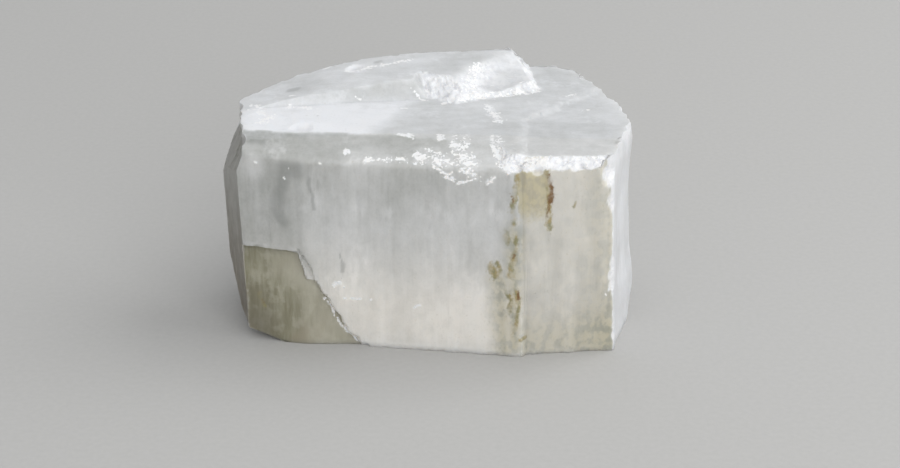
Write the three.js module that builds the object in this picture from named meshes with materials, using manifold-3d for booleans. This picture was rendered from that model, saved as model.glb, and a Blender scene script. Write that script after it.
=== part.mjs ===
// A beryllonite crystal: one broken block of a clear to milky prism, standing on its flat underside.
// Millimetres, +Z up. X runs along the broad front face, Y points to the back, and the origin is at the
// middle of the base. The block is a leaning prism with ribbed walls, cut by flat and hackly fracture
// surfaces, then bruised along its edges.
import * as THREE from "three";
import { mergeVertices } from "three/addons/utils/BufferGeometryUtils.js";
import Module from "manifold-3d";

const wasm = await Module();
wasm.setup();

// ---- driving dimensions ----------------------------------------------------------------------------
const STOCK_HEIGHT = 24; // the prism before its top is broken off
const LEAN = -0.032; // sideways lean of the prism's edges, per millimetre of height
const FAR = 80; // size of a cutting block, well past the whole crystal

// Corners of the prism's cross-section at the base, anticlockwise from the edge between the front faces.
const FRONT_EDGE = [7.9, -11.1];
const LEFT_EDGE = [-16.2, -7.2];
const CROSS_SECTION = [
  FRONT_EDGE,
  [8.2, -10.9], // the front layer ends here, and the right front face lies behind it
  [14.9, -10.2],
  [15.9, -9.8],
  [18.1, -2.2],
  [17.2, 2.4],
  [13.8, 9.2],
  [11.6, 10.6],
  [2.2, 10.1],
  [-7.0, 7.5],
  [-11.8, 5.3],
  [-15.9, 1.8],
  [-17.1, 0.4],
  [-18.0, -2.0],
  LEFT_EDGE,
  [-10.5, -8.45], // the broad front face is very slightly bowed
];
const RIB_WIDTH = 1.15; // growth ribs that run up the prism's faces
const RIB_DEPTH = 0.07;

// Fracture surfaces that face up, each as [height over the origin, rise per mm of X, rise per mm of Y].
const LOW_TOP = [19.05, -0.02, 0]; // right and middle of the top
const RIGHT_TERRACE = [18.87, -0.02, 0]; // the same surface's slightly lower right end
const CROWN_SLOPE = [20.23, 0.035, 0.16]; // the raised part's slope down to the front
const CROWN_TOP = [20.38, 0.012, 0]; // the raised part's upper surface
const CROWN_LEFT = [21.32, 0.125, 0.01]; // the same surface as it drops to the left end
const BAND = [21.64, 0.06, 0.37]; // clear bevel along the top of the broad front face

// Lines in plan where a fracture surface ends, each walked with what it removes on its right.
const TERRACE_EDGE = [[7, -12], [7.3, -2.1], [13, 4.2]];
const BAND_END = [[7.2, -11.1], [5.6, -7.8]];
const CROWN_FACET = [[-13, -0.75], [-0.6, 1.68]]; // smooth wall at the left of the raised part's step
const CROWN_BLOCK = [[-0.5, 1.2], [0.3, 6.0]]; // right end of that wall
const CROWN_FRONT_STEP = [[-0.6, 1.9], [2.2, 0.9], [9.8, 4.6]]; // crushed front of the step
const CROWN_END = [[9.8, 2.5], [8.6, 12]];

// The shell-shaped hollow in the raised part's right end: its lowest point, the direction in plan in which
// it is long, and how many square millimetres of offset along and across that it rises one millimetre in.
const SCOOP = [6.2, 3.5, 19.3];
const SCOOP_AXIS = [0.57, 0.82];
const SCOOP_SPREAD = [40, 11.5];
const SCOOP_BALL = 4; // half height of the ellipsoid that cuts it

// Broken corners, each as [a point on the cut, its outward direction].
const LEFT_WALL = [[-16.75, -2, 17.3], [-0.99, -0.1, 0]];
const LEFT_SHELF = [[-18.32, -2, 14.27], [-0.89, -0.1, 0.45]];
const RIGHT_EDGE_BRUISE = [[15.46, -9.8, 13.6], [0.65, -0.76, 0.13]];
const RIGHT_FRONT_RIM = [[12, -10.2, 18.1], [0.07, -0.7, 0.71]];
const LEFT_UNDERCUT = [[-12.6, -7, 0], [-0.31, 0, -0.95]];
const LEFT_FOOT = [[-17.18, -4.8, 2.11], [-0.85, 0.3, -0.5]];
const RIGHT_UNDERCUT = [[17.39, -3.48, 1], [0.88, 0.2, -0.42]];
const BACK_UNDERCUT = [[-9.9, 6.3, 1.6], [-0.36, 0.62, -0.7]];
const RIGHT_FRONT_FOOT = [[8.2, -10.9, 8], [0.105, -0.994, -0.05]];
const RIGHT_FRONT_START = [[8.1, -11, 0], [1, 0, -LEAN]]; // the right front face's left end

// A cleavage layer missing from the back: how deep, and where it starts, in from the right and up.
const BACK_LAYER = [[1.5, 9.5, 0], [-0.09, 0.996, 0]];
const BACK_LAYER_START = [[8.2, 0, 6], [-0.95, 0, 0.3]];
const BACK_LAYER_FLOOR = [[0, 0, 7.4], [-0.25, 0, 0.97]];

// The flake missing from the lower left of the broad front face. Its outline is given on that face, as
// [distance from the face's left edge, height]. Its floor is slanted: it lies behind the face at the top
// and stands proud of it at the foot. At the right it falls back once more.
const FLAKE = [
  [-3, 8.7], [2.4, 8.75], [4.5, 8.4], [4.8, 7.1], [5.3, 6.2], [6.0, 6.0], [7.1, 4.2], [8.2, 2.5], [8.8, 1.3],
  [9.6, 0.6], [10.5, -0.6], [-3, -0.6],
];
const FLAKE_DEPTH = 0.8;
const FLAKE_RIM = 0.28; // width of its broken edge, seen from the front
const FLAKE_FLOOR = [[0, 3.85, 0], [0, 0.13, 1]];
const FLAKE_FALL = [[5.5, 3.85, 0], [0.14, 0.13, 1]];
const FLAKE_FOOT = [[0, 0], [0, 3.7], [4.4, 3.7], [8.4, 0]]; // the proud part, on the face
const FLAKE_PROUD = 0.8;

// ---- repeatable chance -----------------------------------------------------------------------------
// Mulberry32: the same seed always gives the same sequence of numbers from 0 to 1.
function chance(seed) {
  let state = seed;
  return () => {
    state = (state + 0x6d2b79f5) | 0;
    let t = Math.imul(state ^ (state >>> 15), 1 | state);
    t = (t + Math.imul(t ^ (t >>> 7), 61 | t)) ^ t;
    return ((t ^ (t >>> 14)) >>> 0) / 4294967296;
  };
}

// A gently uneven surface over a plane: the sum of a few waves that run in different directions.
function swell(seed, height, wavelength) {
  const next = chance(seed);
  const waves = Array.from({ length: 6 }, () => {
    const turn = next() * Math.PI * 2;
    const pace = (Math.PI * 2) / (wavelength * (0.5 + next()));
    return [Math.cos(turn) * pace, Math.sin(turn) * pace, next() * Math.PI * 2];
  });
  const share = height / Math.sqrt(waves.length);
  return (x, y) => waves.reduce((sum, [kx, ky, phase]) => sum + share * Math.sin(kx * x + ky * y + phase), 0);
}

// ---- solids ----------------------------------------------------------------------------------------
// A closed three.js geometry as a manifold solid that booleans can work on.
function solid(geometry) {
  const bare = geometry.clone();
  bare.deleteAttribute("normal");
  bare.deleteAttribute("uv");
  const merged = mergeVertices(bare, 1e-4);
  return new wasm.Manifold(
    new wasm.Mesh({
      numProp: 3,
      vertProperties: new Float32Array(merged.attributes.position.array),
      triVerts: new Uint32Array(merged.index.array),
    }),
  );
}

// A solid back as a three.js geometry with flat faces.
function geometryOf(body) {
  const mesh = body.getMesh();
  const geometry = new THREE.BufferGeometry();
  geometry.setAttribute("position", new THREE.BufferAttribute(mesh.vertProperties, 3));
  geometry.setIndex(new THREE.BufferAttribute(mesh.triVerts, 1));
  const flat = geometry.toNonIndexed();
  flat.computeVertexNormals();
  return flat;
}

// Everything past a plane, on the side that outward points to. relief, a function of the two directions
// in the plane, lifts (+) or sinks (-) the cut surface, in facets of the length of a cell.
function beyond([point, outward], relief = () => 0, cell = FAR) {
  const count = Math.round(FAR / cell);
  const block = new THREE.BoxGeometry(FAR, FAR, FAR, count, count, 1);
  const position = block.attributes.position;
  for (let i = 0; i < position.count; i++) {
    const onCut = position.getZ(i) < 0;
    position.setZ(i, onCut ? relief(position.getX(i), position.getY(i)) : FAR);
  }
  const up = new THREE.Vector3(0, 0, 1);
  const turn = new THREE.Quaternion().setFromUnitVectors(up, new THREE.Vector3(...outward).normalize());
  return solid(block.applyQuaternion(turn).translate(...point));
}

// Everything above one of the surfaces that face up.
function above([height, riseX, riseY], relief, cell) {
  return beyond([[0, 0, height], [-riseX, -riseY, 1]], relief, cell);
}

// Everything on the right of a line in plan, as it is walked. The wall it leaves leans by slope, its run
// per mm of rise, away from what is removed.
function rightOf([[x0, y0], [x1, y1]], slope, relief, cell) {
  const length = Math.hypot(x1 - x0, y1 - y0);
  return beyond([[x0, y0, LOW_TOP[0]], [(y1 - y0) / length, (x0 - x1) / length, slope]], relief, cell);
}

function largest(body) {
  return body.decompose().reduce((best, piece) => (piece.volume() > best.volume() ? piece : best));
}

// ---- the crystal, step by step ---------------------------------------------------------------------
// The cross-section with growth ribs: each side is broken into strips that stand a little in or out.
function ribbed(outline, next) {
  return outline.flatMap(([x0, y0], i) => {
    const [x1, y1] = outline[(i + 1) % outline.length];
    const length = Math.hypot(x1 - x0, y1 - y0);
    const ribs = Math.max(1, Math.round(length / RIB_WIDTH));
    const points = [[x0, y0]];
    for (let k = 1; k < ribs; k++) {
      const along = (k + 0.6 * (next() - 0.5)) / ribs;
      const out = (RIB_DEPTH * (2 * next() - 1)) / length;
      points.push([x0 + along * (x1 - x0) + out * (y1 - y0), y0 + along * (y1 - y0) - out * (x1 - x0)]);
    }
    return points;
  });
}

function prism() {
  const outline = ribbed(CROSS_SECTION, chance(11)).map(([x, y]) => new THREE.Vector2(x, y));
  const upright = { depth: STOCK_HEIGHT, bevelEnabled: false };
  const walls = new THREE.ExtrudeGeometry(new THREE.Shape(outline), upright);
  return solid(walls.applyMatrix4(new THREE.Matrix4().makeShear(0, 0, 0, 0, LEAN, 0)));
}

// What the low top leaves standing: a left piece behind a smooth facet, and a right piece behind a
// crushed, hackly step. Both end at the right in a steep wall.
function crownSpace() {
  const everything = () => beyond([[0, 0, 0], [0, 0, 1]]);
  const [a, b, c] = CROWN_FRONT_STEP;
  const left = everything()
    .subtract(rightOf(CROWN_FACET, 0.85, swell(3, 0.1, 4), 1))
    .subtract(rightOf(CROWN_BLOCK, 1, swell(27, 0.1, 3), 1));
  const right = everything().subtract(rightOf([a, b], 1.6, swell(4, 0.3, 2.2), 0.75));
  return left
    .add(right)
    .subtract(rightOf([b, c], 0.9, swell(5, 0.22, 2.4), 0.75))
    .subtract(rightOf(CROWN_END, 1, swell(6, 0.15, 3), 1));
}

// The hollow in the crown, cut by an ellipsoid that stands on its lowest point.
function crownScoop() {
  const reach = SCOOP_SPREAD.map((spread) => Math.sqrt((SCOOP_BALL * spread) / 2));
  const ball = new THREE.SphereGeometry(1, 48, 32).rotateX(Math.PI / 2).scale(...reach, SCOOP_BALL);
  ball.rotateZ(Math.atan2(SCOOP_AXIS[1], SCOOP_AXIS[0]));
  return solid(ball.translate(SCOOP[0], SCOOP[1], SCOOP[2] + SCOOP_BALL));
}

// The broken top, as the list of pieces that are missing from it.
function missingTop() {
  const [a, b, c] = TERRACE_EDGE;
  const terrace = above(RIGHT_TERRACE, swell(8, 0.06, 5), 1.6)
    .intersect(rightOf([a, b], 1.2, swell(9, 0.15, 1.5), 0.8))
    .intersect(rightOf([b, c], 1.2, swell(10, 0.15, 1.5), 0.8));
  return [
    above(LOW_TOP, swell(7, 0.09, 6), 1.6).subtract(crownSpace()),
    terrace.subtract(crownSpace()),
    above(CROWN_SLOPE, swell(12, 0.14, 5), 1.4),
    above(CROWN_TOP, swell(13, 0.12, 6), 1.6),
    above(CROWN_LEFT, swell(19, 0.12, 5), 1.6),
    above(BAND, swell(14, 0.04, 5), 2).subtract(rightOf(BAND_END, -0.8, swell(15, 0.15, 1.6), 0.6)),
  ];
}

// The frame of the broad front face: u along it from its left edge, v up, and w out of it.
function frontFace() {
  const along = new THREE.Vector3(FRONT_EDGE[0] - LEFT_EDGE[0], FRONT_EDGE[1] - LEFT_EDGE[1], 0).normalize();
  const up = new THREE.Vector3(0, 0, 1);
  const out = new THREE.Vector3().crossVectors(along, up);
  return new THREE.Matrix4().makeBasis(along, up, out).setPosition(...LEFT_EDGE, 0);
}

// Everything in front of the flake's floor.
function beforeFlake() {
  const place = ([point, outward]) => [
    new THREE.Vector3(...point).applyMatrix4(frontFace()),
    new THREE.Vector3(...outward).transformDirection(frontFace()),
  ];
  const fall = beyond(place(FLAKE_FALL), swell(28, 0.08, 3), 1);
  return beyond(place(FLAKE_FLOOR), swell(16, 0.08, 3), 1).add(fall);
}

// The flake that broke out of the front: its outline widens to the face.
function missingFlake() {
  const shape = new THREE.Shape(FLAKE.map(([u, v]) => new THREE.Vector2(u, v)));
  const bevel = { bevelSegments: 1, bevelThickness: FLAKE_DEPTH, bevelSize: FLAKE_RIM };
  const block = new THREE.ExtrudeGeometry(shape, { depth: 2, ...bevel }).applyMatrix4(frontFace());
  return solid(block).intersect(beforeFlake());
}

// What stands proud of the face under the flake.
function flakeFoot() {
  const shape = new THREE.Shape(FLAKE_FOOT.map(([u, v]) => new THREE.Vector2(u, v)));
  const block = new THREE.ExtrudeGeometry(shape, { depth: 2 * FLAKE_PROUD, bevelEnabled: false });
  return solid(block.translate(0, 0, -FLAKE_PROUD).applyMatrix4(frontFace())).subtract(beforeFlake());
}

function missingBackLayer() {
  return beyond(BACK_LAYER)
    .intersect(beyond(BACK_LAYER_START, swell(17, 0.3, 4), 1))
    .intersect(beyond(BACK_LAYER_FLOOR, swell(18, 0.3, 4), 1));
}

// Small chips out of an edge that runs from one point to another: octahedra of chance size and turn.
function chips([from, to, count, size], next) {
  return Array.from({ length: count }, () => {
    const place = new THREE.Vector3(...from).lerp(new THREE.Vector3(...to), next());
    const reach = size * (0.5 + next());
    const chip = new THREE.OctahedronGeometry(reach).scale(1, 0.6 + 0.6 * next(), 0.5 + 0.5 * next());
    const turn = new THREE.Quaternion().setFromEuler(new THREE.Euler(next() * 6, next() * 6, next() * 6));
    const shift = new THREE.Vector3(next() - 0.5, next() - 0.5, next() - 0.5).multiplyScalar(size);
    return solid(chip.applyQuaternion(turn).translate(...place.add(shift)));
  });
}

// Edges that are chipped, each as [from, to, number of chips, their size].
const CHIPPED_EDGES = [
  [[-16.9, -7.3, 18.0], [7.2, -11.2, 18.0], 16, 0.28], // foot of the clear band
  [[-4.5, -9.2, 0], [7.9, -11.2, 0], 8, 0.3], // foot of the broad front face
  [[8, -10.7, 0], [15.9, -9.9, 0], 6, 0.3],
  [[15.9, -9.9, 1], [18.2, -2.3, 1], 5, 0.6],
  [[7.6, -11.2, 2], [7.3, -11.2, 16], 6, 0.22], // end of the front layer
  [[8.0, -10.6, 18.4], [15.2, -9.8, 18.4], 12, 0.35], // white rim over the right front face
  [[15.4, -9.9, 18], [15.8, -9.9, 4], 9, 0.3],
  [[15.4, -9.7, 18.6], [17.5, -2.2, 18.6], 8, 0.35],
  [[17.5, -2.2, 18.6], [16.6, 2.4, 18.6], 5, 0.3],
  [[16.6, 2.4, 18.6], [11.0, 10.5, 18.6], 12, 0.35],
  [[11.0, 10.5, 18.7], [9.3, 10.3, 18.7], 2, 0.3],
  [[8.6, 10.3, 21.0], [1.5, 10.1, 20.8], 6, 0.3], // rim of the crown's back
  [[1.5, 10.1, 20.8], [-7.6, 7.5, 20.4], 8, 0.35],
  [[-7.6, 7.5, 20.4], [-12.4, 5.3, 20.0], 6, 0.35],
  [[-12.4, 5.3, 20.0], [-17.6, 0.5, 19.6], 7, 0.35],
  [[-17.6, 0.5, 19.6], [-16.9, -5.5, 18.9], 5, 0.3],
  [[-17.3, -4.8, 17.2], [-18.4, -2, 13], 5, 0.4],
  [[-16.3, -7.2, 16], [-16.4, -7.2, 3], 6, 0.25],
  [[-0.8, 1.9, 19.3], [2.2, 0.9, 19.3], 9, 0.42], // crushed foot and face of the crown's step
  [[2.2, 0.9, 19.3], [9.4, 4.4, 19.3], 14, 0.35],
  [[-1.0, 3.2, 20.3], [3.4, 2.6, 20.2], 9, 0.35],
  [[1, -9.5, 18.8], [5.5, -9.2, 18.9], 16, 0.24], // sparkling bruise on the band
  [[0.4, -10, 16.6], [5.2, -10.7, 17.6], 16, 0.22],
  [[-6.4, -8.8, 0], [-5.6, -9.0, 0], 3, 0.55], // notch in the foot of the front
  [[7.2, -10.9, 18.4], [6.2, -9, 18.9], 6, 0.35], // broken end of the band
];

function crystalBody() {
  const next = chance(29);
  const stock = prism().add(flakeFoot());
  const missing = [
    ...missingTop(),
    crownScoop(),
    missingFlake(),
    missingBackLayer(),
    beyond(LEFT_WALL, swell(19, 0.1, 3), 1).intersect(beyond(LEFT_SHELF, swell(20, 0.15, 3), 1)),
    beyond(RIGHT_EDGE_BRUISE, swell(21, 0.12, 2), 0.8),
    beyond(RIGHT_FRONT_RIM, swell(22, 0.12, 2), 0.8),
    beyond(RIGHT_FRONT_FOOT).intersect(beyond(RIGHT_FRONT_START)),
    beyond(LEFT_UNDERCUT, swell(23, 0.12, 4), 1.2),
    beyond(LEFT_FOOT, swell(26, 0.12, 3), 1),
    beyond(RIGHT_UNDERCUT, swell(25, 0.12, 2), 1),
    beyond(BACK_UNDERCUT, swell(24, 0.2, 4), 1),
    ...CHIPPED_EDGES.flatMap((edge) => chips(edge, next)),
  ];
  return largest(missing.reduce((body, piece) => body.subtract(piece), stock));
}

const geometry = geometryOf(crystalBody());
geometry.computeBoundingBox();
const middle = geometry.boundingBox.getCenter(new THREE.Vector3());
geometry.translate(-middle.x, -middle.y, 0);

const material = new THREE.MeshStandardMaterial({ color: 0xdad9d6, roughness: 0.35, metalness: 0 });
const crystal = new THREE.Mesh(geometry, material);
crystal.name = "crystal";

const beryllonite = new THREE.Group();
beryllonite.add(crystal);

export default beryllonite;
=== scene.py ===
# %% [markdown]
# # A beryllonite crystal, worked out as three surfaces
#
# Beryllonite is a clear to milky mineral that splits along flat planes. This piece is one broken block
# of a prism: ribbed upright faces, a stepped and splintered top, and a flat underside that it rests on.
# In this lesson the whole skin of the crystal is calculated with numpy, as functions of two parameters,
# and one material then gives it its milky, glassy and iron-stained places.

# %% Load the frame
import bpy
import numpy as np
from itertools import product
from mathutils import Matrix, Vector
from numpy.linalg import norm


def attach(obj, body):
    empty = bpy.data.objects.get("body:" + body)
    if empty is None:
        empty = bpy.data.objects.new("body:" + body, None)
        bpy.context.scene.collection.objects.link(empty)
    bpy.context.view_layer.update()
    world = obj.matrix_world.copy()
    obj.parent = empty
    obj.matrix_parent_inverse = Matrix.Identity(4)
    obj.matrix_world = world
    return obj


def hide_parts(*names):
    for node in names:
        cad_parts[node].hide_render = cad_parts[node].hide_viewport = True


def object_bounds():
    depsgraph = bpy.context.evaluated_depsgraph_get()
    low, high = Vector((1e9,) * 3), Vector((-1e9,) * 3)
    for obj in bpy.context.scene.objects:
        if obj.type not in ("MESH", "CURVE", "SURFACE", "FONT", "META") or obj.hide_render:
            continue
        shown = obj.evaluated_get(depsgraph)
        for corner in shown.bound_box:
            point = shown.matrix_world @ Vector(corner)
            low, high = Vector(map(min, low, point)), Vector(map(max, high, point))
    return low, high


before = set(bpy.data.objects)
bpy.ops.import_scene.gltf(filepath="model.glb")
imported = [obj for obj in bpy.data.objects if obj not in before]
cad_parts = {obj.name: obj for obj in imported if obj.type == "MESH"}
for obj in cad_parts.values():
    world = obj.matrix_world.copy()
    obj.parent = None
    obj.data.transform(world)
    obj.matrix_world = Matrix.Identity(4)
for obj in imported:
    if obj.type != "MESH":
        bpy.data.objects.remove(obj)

cad_low, cad_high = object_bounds()
middle = (cad_low + cad_high) / 2
MM = 0.001  # shapes are worked out in millimetres, and Blender holds metres
print("the crystal is", [round(v / MM, 1) for v in cad_high - cad_low], "mm over X, Y and Z")

# %% [markdown]
# ## The camera
#
# A small object on a table is shown from a little above, with a long lens and from some way off, so
# that its upright edges stay nearly parallel. The camera looks at a point inside the crystal, and its
# place follows from one angle and one distance.

# %% Place the camera
LOOKS_DOWN = np.radians(26)
AWAY = 198.8 * MM
TARGET = Vector((middle.x + 1.8 * MM, middle.y, 6.7 * MM))

camera = bpy.data.objects.new("camera", bpy.data.cameras.new("camera"))
bpy.context.scene.collection.objects.link(camera)
bpy.context.scene.camera = camera
camera.data.lens = 88
camera.data.clip_start = 0.01
camera.location = TARGET + AWAY * Vector((0, -np.cos(LOOKS_DOWN), np.sin(LOOKS_DOWN)))
camera.rotation_euler = (TARGET - camera.location).to_track_quat("-Z", "Y").to_euler()
print("the camera is", round(AWAY, 3), "m away")

# %% [markdown]
# ## Chance that repeats
#
# Broken stone is uneven at every scale, and it has to be uneven in the same way on every run. Both
# helpers below start from a lattice whose cells hold numbers mixed from their own whole coordinates,
# so the same place always gets the same value. A sculpted mesh or a displacement texture could give
# such relief too, but a function can be asked for its value anywhere.

# %% Lattice noise and broken facets
ODD, HALF, LOW_BITS = np.uint64(2246822519), np.uint64(15), 0xFFFFFFFF


def mixed(cells, seed):
    """A number from 0 to 1 for each row of whole numbers. Each coordinate in turn is folded in by an
    exclusive or, a multiplication by a large odd number and a shift, and 32 bits are kept."""
    value = np.full(cells.shape[:-1], 2654435769 * (seed + 1) % 2**32, np.uint64)
    for k in range(cells.shape[-1]):
        whole = (cells[..., k].astype(np.int64) & LOW_BITS).astype(np.uint64)
        value = (value ^ whole) * ODD
        value = (value ^ (value >> HALF)) & np.uint64(LOW_BITS)
    return value / 2.0**32


def noise(points, size, seed, octaves=1):
    """Smooth relief from about -1 to 1. Points are divided by the size, the random values at the
    corners of each point's lattice cell are blended by how near they are, with eased weights, and
    each further octave adds the same at half the size and half the strength."""
    total, strength = 0, 1
    for octave in range(octaves):
        at = points / (np.asarray(size) / 2**octave)
        cell = np.floor(at).astype(np.int64)
        part = at - cell
        ease = part * part * (3 - 2 * part)
        level = 0
        for corner in product((0, 1), repeat=points.shape[-1]):
            weight = np.prod(np.where(corner, ease, 1 - ease), axis=-1)
            level = level + weight * mixed(cell + np.array(corner), seed + octave)
        total = total + strength * (2 * level - 1)
        strength = strength / 2
    return total


def facets(points, size, seed):
    """Splintered relief from about -1 to 1. Every lattice cell has one centre at a random place in it
    and one randomly tilted plane, and a point takes the height of the plane of its nearest centre."""
    at = points / np.asarray(size)
    cell = np.floor(at).astype(np.int64)
    nearest = np.full(at.shape[:-1], np.inf)
    height = np.zeros(at.shape[:-1])
    for step in product((-1, 0, 1), repeat=points.shape[-1]):
        there = cell + np.array(step)
        axes = range(points.shape[-1])
        centre = there + np.stack([mixed(there, seed + 10 + k) for k in axes], axis=-1)
        tilt = np.stack([2 * mixed(there, seed + 20 + k) - 1 for k in axes], axis=-1)
        apart = np.sum((at - centre) ** 2, axis=-1)
        plane = np.sum((at - centre) * tilt, axis=-1) + mixed(there, seed + 30) - 0.5
        height = np.where(apart < nearest, plane, height)
        nearest = np.minimum(nearest, apart)
    return height


def eased(low, high, value):
    """0 below low, 1 above high, and an S-curve between them."""
    part = np.clip((value - low) / (high - low), 0, 1)
    return part * part * (3 - 2 * part)


print("relief at one place:", noise(np.array([[1.5, 2.5, 3.5]]), 1.0, 3).round(3))

# %% [markdown]
# ## The prism's outline
#
# Cut across, the crystal is a many-sided figure with sharp corners, and those corners become its
# upright edges. If a grid's lines miss such an edge, the edge comes out ragged, so each stretch of
# the outline is walked in equal steps that always land on its corners. There are four stretches,
# because the top will later be stretched between them like a cloth between four rods.

# %% Walk the outline
LEFT_FRONT, RIGHT_FRONT, RIGHT_BACK, LEFT_BACK = (-16.2, -7.2), (15.9, -9.8), (11.6, 10.6), (-17.1, 0.4)
FRONT_EDGE = (7.9, -11.1)  # the broad front face ends here, and the next one lies half a millimetre back
FRONT = [LEFT_FRONT, (-10.5, -8.45), FRONT_EDGE, (8.3, -10.6), RIGHT_FRONT]
RIGHT = [RIGHT_FRONT, (18.1, -2.2), (17.2, 2.4), (13.8, 9.2), RIGHT_BACK]
BACK = [RIGHT_BACK, (2.2, 10.1), (-7.0, 7.5), (-11.8, 5.3), (-15.9, 1.8), LEFT_BACK]
LEFT = [LEFT_BACK, (-18.0, -2.0), LEFT_FRONT]
ALONG, ACROSS = 250, 100  # steps along the front and the back, and along either end


def walk(corners, count):
    """Points along a broken line, without its last one. Each side has a share of the steps in
    proportion to its length, rounded, and its points are spaced evenly between its two corners."""
    corners = np.array(corners)
    reach = np.concatenate([[0], np.cumsum(norm(np.diff(corners, axis=0), axis=1))])
    knots = np.round(count * reach / reach[-1])
    return np.stack([np.interp(np.arange(count), knots, corners[:, k]) for k in (0, 1)], axis=1)


outline = np.concatenate([walk(FRONT, ALONG), walk(RIGHT, ACROSS), walk(BACK, ALONG), walk(LEFT, ACROSS)])
starts = np.cumsum([0, ALONG, ACROSS, ALONG])  # where each stretch begins
forward = np.roll(outline, -1, axis=0) - np.roll(outline, 1, axis=0)
outward = np.stack([forward[:, 1], -forward[:, 0]], axis=1) / norm(forward, axis=1)[:, None]
print(len(outline), "points round the outline")

# %% [markdown]
# ## The top as a height over the plan
#
# The top of the real crystal is a set of cleavage and fracture surfaces. Each one is almost a plane,
# so its height over the plan is a number plus a rise along X and a rise along Y. Where two solids
# overlap, the higher surface shows, and where one cuts the other, the lower one does. So maximum and
# minimum, in the right order, carve the whole top: a low floor, a terrace, a raised crown with a
# smooth wall, a crushed wall and a hollow in its right end, and the bevels along the front. Boolean
# modifiers could cut it as well, but they leave long thin faces that take no fine relief.

# %% Measure the top's surfaces
LEVEL = 19.05  # the low top, from which the steep walls of the steps are measured
LOW_TOP = (LEVEL, -0.02, 0)  # height over the origin, rise per mm of X, rise per mm of Y
RIGHT_TERRACE = (18.87, -0.02, 0)
CROWN_SLOPE = (20.23, 0.035, 0.16)
CROWN_TOP = (20.55, 0.012, 0)
CROWN_LEFT = (21.32, 0.125, 0.01)
BAND = (21.64, 0.06, 0.37)
FRONT_RIM = (29.34, -0.0986, 0.986)  # the white, broken bevel over the right front face

TERRACE_EDGE = [(7, -12), (7.3, -2.1), (13, 4.2)]
CROWN_FACET = [(-13, -0.75), (-0.6, 1.68)]  # the smooth, dark wall at the left of the crown's step
CROWN_STEP = [(-0.6, 1.9), (2.2, 0.9), (9.8, 4.6)]
CROWN_END = [(9.7, 2.5), (8.3, 12)]
BAND_END = [(7.2, -11.1), (5.6, -7.8)]
CROWN_BLOCK = [(-0.5, 1.2), (0.3, 6.0)]  # right end of the dark wall
SCOOP = (6.2, 3.5, 19.3)  # the lowest point of the hollow in the crown's right end
SCOOP_AXIS = (0.57, 0.82)  # the direction in which the hollow is long
SCOOP_SPREAD = (40.0, 11.5)  # square millimetres of offset along and across it for each mm that it rises


def plane(surface, plan):
    """The height of a sloping surface: its height at the origin, plus each rise times its coordinate."""
    return surface[0] + surface[1] * plan[..., 0] + surface[2] * plan[..., 1]


def wall_of(line, run, plan):
    """The height of a steep wall that passes through a line in plan at LEVEL. It is the distance to
    the left of the line, divided by the wall's run for each millimetre that it rises."""
    (x0, y0), (x1, y1) = line
    length = np.hypot(x1 - x0, y1 - y0)
    left = ((x1 - x0) * (plan[..., 1] - y0) - (y1 - y0) * (plan[..., 0] - x0)) / length
    return LEVEL + left / run


def lower(one, other, soft):
    """The lower of two heights, with the crease between them rounded over this difference in height."""
    part = np.clip(0.5 + 0.5 * (other - one) / soft, 0, 1)
    return part * one + (1 - part) * other - soft * part * (1 - part)


print("the crown stands", round(CROWN_TOP[0] - LOW_TOP[0], 2), "mm over the low top")


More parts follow.
